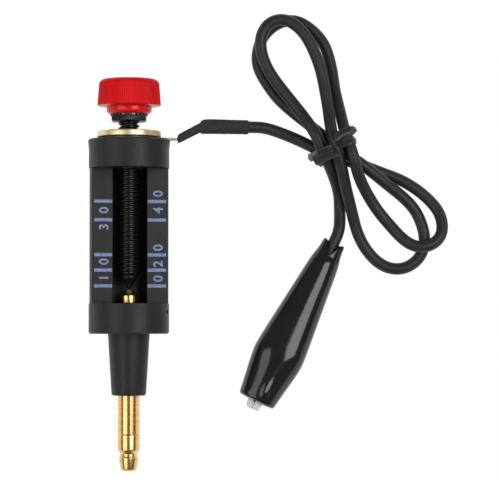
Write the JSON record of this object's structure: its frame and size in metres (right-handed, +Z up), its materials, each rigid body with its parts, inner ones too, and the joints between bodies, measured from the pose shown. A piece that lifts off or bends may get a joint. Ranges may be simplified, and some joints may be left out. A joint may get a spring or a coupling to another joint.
{
  "type": "spark plug tester",
  "caption": "Adjustable spark-gap ignition tester: black housing with a scale window, red screw knob, brass plug terminal, and an earth lead tied in a hank with an insulated spring clip.",
  "frame": {"origin": "on the table, under the middle of the tester's length, with the tester's axis 12 mm above it", "axes": "+Y along the tester's axis from the brass terminal to the knob, +X to the side where the earth lead leaves, +Z up, out of the scale panel's side"},
  "size_m": [0.1059, 0.1345, 0.024],
  "materials": {
    "housing_plastic": "moulded black plastic, satin",
    "terminal_brass": "turned brass, fine lathe marks",
    "flange_brass": "pale turned brass",
    "dark_steel": "dark steel",
    "black_steel": "black oxide, satin",
    "bright_steel": "zinc plated",
    "red_plastic": "red moulded plastic, satin gloss",
    "copper": "copper, dull",
    "shrink_sleeve": "black shrink tubing",
    "lead_jacket": "black flexible jacket, satin",
    "tie_ribbon": "black ribbed ribbon",
    "boot_vinyl": "black soft vinyl, glossy",
    "scale_ink": "blue scale print",
    "plated_steel": "nickel plated pressed steel"
  },
  "bodies": {
    "tester": {"housing": "housing_plastic", "terminal_rod": "terminal_brass", "retaining_pin": "dark_steel", "flange_bush": "flange_brass", "ring_terminal": "copper", "lug_conductor": "copper", "lug_sleeve": "shrink_sleeve", "lead_start": "lead_jacket", "lead_hank": "lead_jacket", "lead_tail": "lead_jacket", "twist_tie": "tie_ribbon", "clip_boot": "boot_vinyl", "clip_fixed_jaw": "plated_steel", "clip_pivot_pin": "plated_steel", "clip_spring": "bright_steel", "clip_conductor": "copper"},
    "screw_carrier": {"knob_insert": "terminal_brass"},
    "screw": {"adjusting_screw": "black_steel", "lock_nut": "black_steel", "tooth_washer": "bright_steel", "knob": "red_plastic"},
    "clip_jaw": {"clip_moving_jaw": "plated_steel"}
  },
  "joints": [
    {"name": "screw_advance", "type": "slide", "parent": "tester", "child": "screw_carrier", "axis": [0, 1, 0], "range_m": [0, 0.02794]},
    {"name": "screw_turn", "type": "hinge", "parent": "screw_carrier", "child": "screw", "pos_m": [0, 0.05, 0.012], "axis": [0, 1, 0], "range_deg": [0, 7920]},
    {"name": "jaw_open", "type": "hinge", "parent": "tester", "child": "clip_jaw", "pos_m": [0.04521, -0.0206, 0.00597], "axis": [0.0265, 0.0534, 0.9982], "range_deg": [0, 14], "stiffness_Nm_per_rad": 0.1, "springref_deg": -34.38, "deforming": ["clip_spring", "clip_boot"]}
  ],
  "couplings": [
    {"joint": "screw_turn", "follows": "screw_advance", "rad_per_m": 4947.4}
  ]
}
